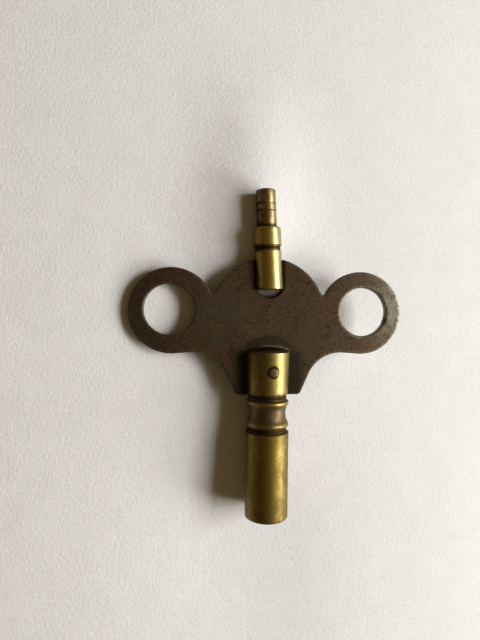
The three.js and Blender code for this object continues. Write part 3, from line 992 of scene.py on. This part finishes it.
def steel_material():
    """Old browned steel: fine speckled oxide, pits, dark grime with painted shade and shadow where the
    barrels meet the plate, painted shade on the wings, and pale steel that is partly painted highlight.
    """
    t = Tree("browned_steel")
    cloud = t.noise(5.0, 4, 0.6)
    mottle = t.noise(1.1, 5, 0.7, shift=7)
    grain = t.noise(0.32, 4, 0.75, shift=3)
    freckles = t.band(0.58, 0.68, t.noise(0.55, 3, 0.6, shift=23))
    pits = t.band(0.64, 0.7, t.noise(1.0, 3, 0.6, shift=11))
    stains = t.band(0.54, 0.66, t.noise(2.0, 4, 0.65, shift=31))
    # grime with painted shade and shadow by the barrels
    grime_and_shade = t.band(0.0, 1.0, t.add(t.painted("grime_and_shade"), t.between(-0.15, 0.15, mottle)))
    oxide = t.mix(t.band(0.36, 0.64, grain), DARK_OXIDE, LIGHT_OXIDE)
    oxide = t.mix(t.times(t.band(0.4, 0.7, mottle), 0.45), oxide, MOTTLED_OXIDE)
    oxide = t.mix(t.times(stains, 0.5), oxide, STAINED_OXIDE)
    bloom = t.add(t.band(0.45, 0.68, cloud), t.painted("bloom"))
    oxide = t.mix(t.times(t.band(0, 1, bloom), 0.6), oxide, GREEN_BLOOM)
    # painted shade, darker right of centre and at the left ring
    oxide = t.mix(t.times(t.painted("painted_shade"), 0.37), oxide, PAINTED_SHADE_OXIDE)
    oxide = t.mix(t.times(t.painted("seat"), 0.8), oxide, MILLED_STEEL)
    # pale steel on rims and patches: bare metal, with painted highlight and reflection
    bare_and_glint = t.add(t.times(t.painted("rim"), 0.42), t.times(t.painted("wear_and_glint"), 0.6))
    cover = t.band(0.3, 0.62, t.add(t.times(mottle, 0.6), t.times(grain, 0.4)))
    oxide = t.mix(t.times(bare_and_glint, cover), oxide, BARE_STEEL_AND_GLINT)
    oxide = t.mix(t.times(freckles, 0.55), oxide, FRECKLE)
    oxide = t.mix(t.times(pits, 0.7), oxide, PIT)
    # grime and painted shade darken the oxide
    oxide = t.mix(t.times(grime_and_shade, t.between(0.72, 1.0, grain)), oxide, GRIME_AND_SHADE)
    rough = t.add(t.between(0.45, 0.54, mottle), t.times(pits, 0.2), t.times(grime_and_shade, 0.08))
    relief = t.add(t.times(grain, 0.45), t.times(mottle, 0.45), t.times(pits, -0.6))
    t.bump(relief, depth=0.012)
    return t.finish(oxide, rough, 0.92)


def brass_material(name, bright, dull, dark, rubbed_and_highlight, wear_size, worn, gloss, film):
    """Handled brass under a thin film of old lacquer and oil, tarnished in patches and in the grooves,
    with painted shade and painted highlight on its sides.

    worn is the cloud level below which the brass is bright, and gloss is its roughness there. The
    rubbed colour is laid where hands have polished it most and, on the side towards the window, as a
    painted highlight. film is the lacquer's weight where there's no tarnish.
    """
    t = Tree(name)
    patch = t.noise(wear_size, 6, 0.68, stretch=(1, 1.6, 1))
    speck = t.noise(0.36, 5, 0.72, shift=5)
    turning = t.noise(0.11, 2, 0.5, stretch=(30, 1, 30), shift=9)
    rubs = t.noise(0.22, 3, 0.6, stretch=(1, 14, 1), shift=13)
    # tarnish, with the painted shade on the left sides
    darkened = t.add(t.painted("tarnish_and_shade"), t.between(-0.1, 0.1, patch))
    aged = t.band(worn - 0.12, worn + 0.12, t.add(t.times(patch, 0.7), t.times(rubs, 0.3)))
    colour = t.mix(aged, bright, dull)
    colour = t.mix(t.times(t.band(0.48, 0.66, speck), 0.6), colour, dark)
    # rubbed brass and painted highlight
    colour = t.mix(t.times(t.painted("rubbed_and_highlight"), 0.8), colour, rubbed_and_highlight)
    colour = t.mix(t.times(t.painted("patina"), 0.85), colour, BROWN_PATINA)
    colour = t.mix(t.band(0.1, 0.6, darkened), colour, dark)
    colour = t.mix(t.band(0.55, 0.95, darkened), colour, DEEP_TARNISH)
    rough = t.add(t.between(gloss, gloss + 0.14, aged), t.times(speck, 0.1), t.times(darkened, 0.12))
    rough = t.add(rough, t.times(t.painted("rubbed_and_highlight"), -0.12))
    relief = t.add(t.times(turning, 0.25), t.times(rubs, 0.25), t.times(speck, 0.5))
    t.bump(relief, depth=0.014)
    t.feed(t.shader.inputs["Coat Weight"], t.between(film, 0.0, t.band(0.1, 0.6, darkened)))
    t.shader.inputs["Coat Roughness"].default_value = 0.2
    return t.finish(colour, rough, 1.0)


def paper_material():
    """White paper with a fine tooth and a faint cockle, its tone darker in the tooth's hollows, partly
    as painted shade.
    """
    t = Tree("white_paper")
    tooth = t.noise(0.5, 4, 0.65, stretch=(1, 1.2, 1))
    cockle = t.noise(5.0, 2, 0.5, shift=4)
    tone = t.add(t.times(tooth, 0.7), t.times(cockle, 0.3))
    # the paper's own mottled tone, with painted shade in the tooth's hollows
    colour = t.mix(t.band(0.3, 0.7, tone), PAPER_HOLLOWS, PAPER_CRESTS)
    t.bump(t.add(t.times(tooth, 0.6), t.times(cockle, 0.4)), depth=0.17)
    return t.finish(colour, 0.95, 0.0)


# ---------------------------------------------------------------- putting it together


def place_piece(piece, node, material):
    """Puts a finished piece in the place of its CAD node."""
    piece.data.materials.clear()
    piece.data.materials.append(material)
    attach(piece, "root")
    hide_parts(node)


def paper_height(x, y):
    """The sheet's height in millimetres: a soft fold reaches up under the small end's collar."""
    fold = FOLD_RISE * step(3, 16, y) + FOLD_LIP * step(16.5, 19.5, y)
    fold = fold * bump_at(x, -2, 9) * (1 - step(28, 60, y))
    swell = SWELL_RISE * bump_at(math.hypot(x - 14, y - 1), 0, 8)
    dip = DIP_DEPTH * bump_at(x, -4, 18) * step(8, 36, -y) * (1 - step(50, 90, -y))
    cockle = COCKLE_RISE * noise.noise(Vector((x / 19, y / 19, 2.0)))
    return fold + swell - dip + cockle * step(26, 40, math.hypot(x, y + 5))


def make_floor():
    """A sheet of white paper, far larger than the key and finer near it."""
    ticks = [spread * abs(spread) * PAPER_REACH for spread in np.linspace(-1, 1, 281)]
    vertices = []
    faces = []
    width = len(ticks)
    for j, y in enumerate(ticks):
        for i, x in enumerate(ticks):
            vertices.append((x * MM, y * MM, paper_height(x, y) * MM))
            if i and j:
                corner = j * width + i
                faces.append((corner - width - 1, corner - width, corner, corner - 1))
    mesh = bpy.data.meshes.new("paper")
    mesh.from_pydata(vertices, [], faces)
    mesh.shade_smooth()
    mesh.materials.append(paper_material())
    floor = bpy.data.objects.new("paper", mesh)
    bpy.context.scene.collection.objects.link(floor)


def make_lamp(name, azimuth, elevation, height, length, power, colour):
    """A soft rectangle of daylight that faces the key from that direction. Angles are degrees."""
    lamp = bpy.data.lights.new(name, "AREA")
    lamp.shape = "RECTANGLE"
    lamp.size = height
    lamp.size_y = length
    lamp.energy = power
    lamp.color = colour
    window = bpy.data.objects.new(name, lamp)
    bpy.context.scene.collection.objects.link(window)
    window.matrix_world = (
        Matrix.Translation(KEY_ORIGIN)
        @ Matrix.Rotation(math.radians(azimuth), 4, "Z")
        @ Matrix.Rotation(math.radians(90 - elevation), 4, "Y")
        @ Matrix.Translation((0, 0, LAMP_DISTANCE))
    )


def make_room():
    """The dim warm room that fills the shadows, with a pale backdrop behind the paper's edge."""
    room = bpy.data.worlds.new("room")
    room.use_nodes = True
    nodes = room.node_tree.nodes
    links = room.node_tree.links
    fill = nodes["Background"]
    fill.inputs["Color"].default_value = (*ROOM_COLOUR, 1)
    backdrop = nodes.new("ShaderNodeBackground")
    backdrop.inputs["Color"].default_value = (*BACKDROP_COLOUR, 1)
    seen = nodes.new("ShaderNodeLightPath").outputs["Is Camera Ray"]
    both = nodes.new("ShaderNodeMixShader")
    links.new(seen, both.inputs[0])
    links.new(fill.outputs[0], both.inputs[1])
    links.new(backdrop.outputs[0], both.inputs[2])
    links.new(both.outputs[0], nodes["World Output"].inputs["Surface"])
    bpy.context.scene.world = room


def make_camera():
    """The camera above the key, leaning to the left of straight down."""
    lens = bpy.data.cameras.new("camera")
    lens.lens = LENS
    lens.sensor_width = SENSOR_WIDTH
    lens.clip_start = NEAR_CLIP
    camera = bpy.data.objects.new("camera", lens)
    bpy.context.scene.collection.objects.link(camera)
    camera.matrix_world = (
        Matrix.Translation(KEY_ORIGIN)
        @ Matrix.Rotation(CAMERA_LEAN, 4, "Y")
        @ Matrix.Translation(Vector(CAMERA_OFFSET) * MM)
        @ Matrix.Rotation(CAMERA_TURN, 4, "Z")
    )
    bpy.context.scene.camera = camera


steel = steel_material()
winding_brass = brass_material(
    "winding_brass", bright=(0.226, 0.164, 0.036), dull=(0.162, 0.109, 0.018), dark=(0.07, 0.04, 0.012),
    rubbed_and_highlight=(0.34, 0.25, 0.09), wear_size=2.2, worn=0.5, gloss=0.43, film=0.13,
)
regulator_brass = brass_material(
    "regulator_brass", bright=(0.44, 0.33, 0.09), dull=(0.36, 0.232, 0.038), dark=(0.13, 0.068, 0.015),
    rubbed_and_highlight=(0.5, 0.43, 0.19), wear_size=2.6, worn=0.52, gloss=0.34, film=0.15,
)
tip_brass = brass_material(
    "tip_brass", bright=(0.5, 0.36, 0.15), dull=(0.17, 0.1, 0.033), dark=(0.035, 0.02, 0.01),
    rubbed_and_highlight=(0.6, 0.5, 0.29), wear_size=1.3, worn=0.48, gloss=0.27, film=0.1,
)
pin_brass = brass_material(
    "pin_brass", bright=(0.27, 0.185, 0.085), dull=(0.15, 0.095, 0.042), dark=(0.035, 0.022, 0.011),
    rubbed_and_highlight=(0.4, 0.3, 0.15), wear_size=0.9, worn=0.45, gloss=0.36, film=0.1,
)

plate = make_wing_plate()
winding = make_winding_barrel()
pin = make_barrel_pin()
regulator = make_regulator_barrel()
tip = make_regulator_tip()

place_piece(plate, "wing_plate", steel)
place_piece(winding, "winding_barrel", winding_brass)
place_piece(pin, "barrel_pin", pin_brass)
place_piece(regulator, "regulator_barrel", regulator_brass)
place_piece(tip, "regulator_tip", tip_brass)

make_floor()
make_lamp(
    "window", azimuth=5, elevation=42.5,
    height=0.16, length=0.22, power=1.38, colour=HIGH_DAYLIGHT,
)
make_lamp(
    "low_window", azimuth=-24, elevation=26,
    height=0.17, length=0.2, power=1.15, colour=LOW_DAYLIGHT,
)
make_lamp(
    "window_glow", azimuth=-8, elevation=33,
    height=0.36, length=0.46, power=1.4, colour=HIGH_DAYLIGHT,
)
make_room()
make_camera()
bpy.context.scene.view_settings.view_transform = "Standard"
